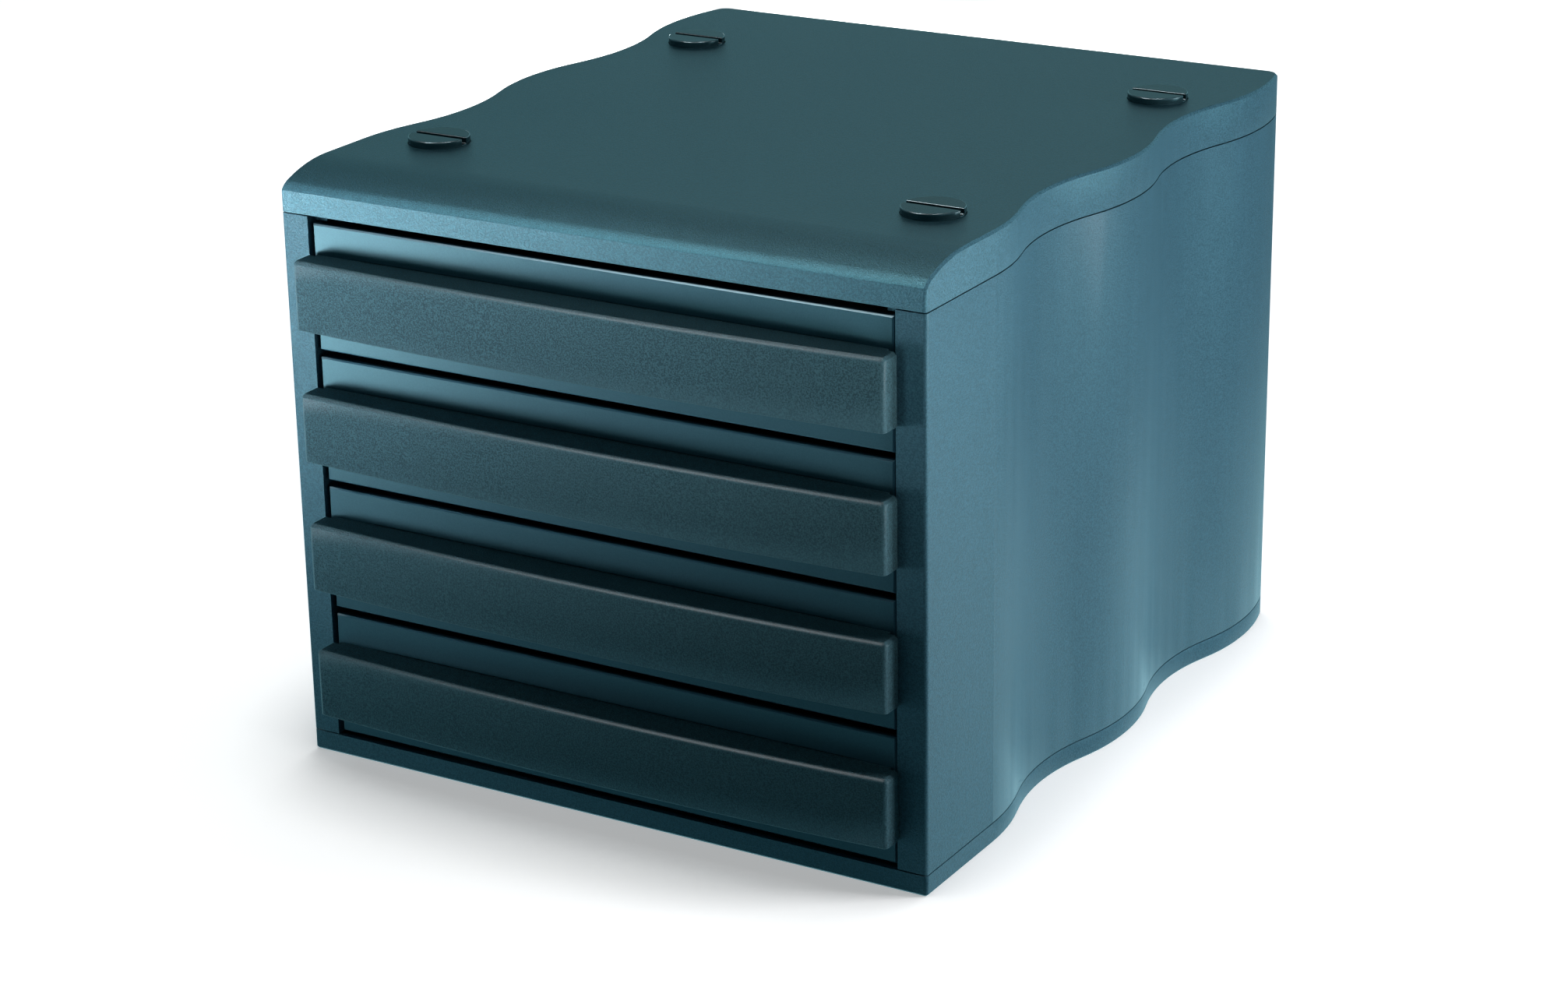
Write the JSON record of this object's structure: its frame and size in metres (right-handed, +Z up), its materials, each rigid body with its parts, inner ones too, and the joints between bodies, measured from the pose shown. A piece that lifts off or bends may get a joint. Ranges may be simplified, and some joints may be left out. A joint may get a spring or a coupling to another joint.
{
  "type": "letter tray stack with drawers",
  "caption": "Desktop stack of closed letter drawers: wavy-sided casing, rolled top front, full-width bowed handles, coin-slot locks on top.",
  "frame": {"origin": "middle of the casing's footprint, on the plane it stands on", "axes": "+Z up; -Y towards the drawer fronts, the way the drawers open; +X to the right seen from the front"},
  "size_m": [0.285, 0.3363, 0.2478],
  "materials": {
    "casing_plastic": "fine spark-eroded grain, dark blue-grey",
    "drawer_plastic": "smooth satin, dark blue-grey",
    "handle_plastic": "coarse spark-eroded grain, dark blue-grey",
    "lock_plastic": "satin black"
  },
  "bodies": {
    "casing": {"base_plate": "casing_plastic", "side_wall_left": "casing_plastic", "side_wall_right": "casing_plastic", "rear_panel": "casing_plastic", "top_cover": "casing_plastic", "cross_bar_front": "casing_plastic", "cross_bar_back": "casing_plastic"},
    "drawer_1": {"drawer_tray_1": "drawer_plastic", "drawer_handle_1": "handle_plastic"},
    "drawer_2": {"drawer_tray_2": "drawer_plastic", "drawer_handle_2": "handle_plastic"},
    "drawer_3": {"drawer_tray_3": "drawer_plastic", "drawer_handle_3": "handle_plastic"},
    "drawer_4": {"drawer_tray_4": "drawer_plastic", "drawer_handle_4": "handle_plastic"},
    "lock_front_left": {"lock_disc_front_left": "lock_plastic", "lock_key_front_left": "lock_plastic"},
    "lock_front_right": {"lock_disc_front_right": "lock_plastic", "lock_key_front_right": "lock_plastic"},
    "lock_back_left": {"lock_disc_back_left": "lock_plastic", "lock_key_back_left": "lock_plastic"},
    "lock_back_right": {"lock_disc_back_right": "lock_plastic", "lock_key_back_right": "lock_plastic"}
  },
  "joints": [
    {"name": "drawer_1_slide", "type": "slide", "parent": "casing", "child": "drawer_1", "axis": [0, -1, 0], "range_m": [0, 0.243]},
    {"name": "drawer_2_slide", "type": "slide", "parent": "casing", "child": "drawer_2", "axis": [0, -1, 0], "range_m": [0, 0.243]},
    {"name": "drawer_3_slide", "type": "slide", "parent": "casing", "child": "drawer_3", "axis": [0, -1, 0], "range_m": [0, 0.243]},
    {"name": "drawer_4_slide", "type": "slide", "parent": "casing", "child": "drawer_4", "axis": [0, -1, 0], "range_m": [0, 0.243]},
    {"name": "lock_front_left_turn", "type": "hinge", "parent": "casing", "child": "lock_front_left", "pos_m": [-0.1113, -0.098, 0.245], "axis": [0, 0, 1], "range_deg": [0, 90]},
    {"name": "lock_front_right_turn", "type": "hinge", "parent": "casing", "child": "lock_front_right", "pos_m": [0.1113, -0.098, 0.245], "axis": [0, 0, 1], "range_deg": [0, 90]},
    {"name": "lock_back_left_turn", "type": "hinge", "parent": "casing", "child": "lock_back_left", "pos_m": [-0.1113, 0.096, 0.245], "axis": [0, 0, 1], "range_deg": [0, 90]},
    {"name": "lock_back_right_turn", "type": "hinge", "parent": "casing", "child": "lock_back_right", "pos_m": [0.1113, 0.096, 0.245], "axis": [0, 0, 1], "range_deg": [0, 90]}
  ]
}
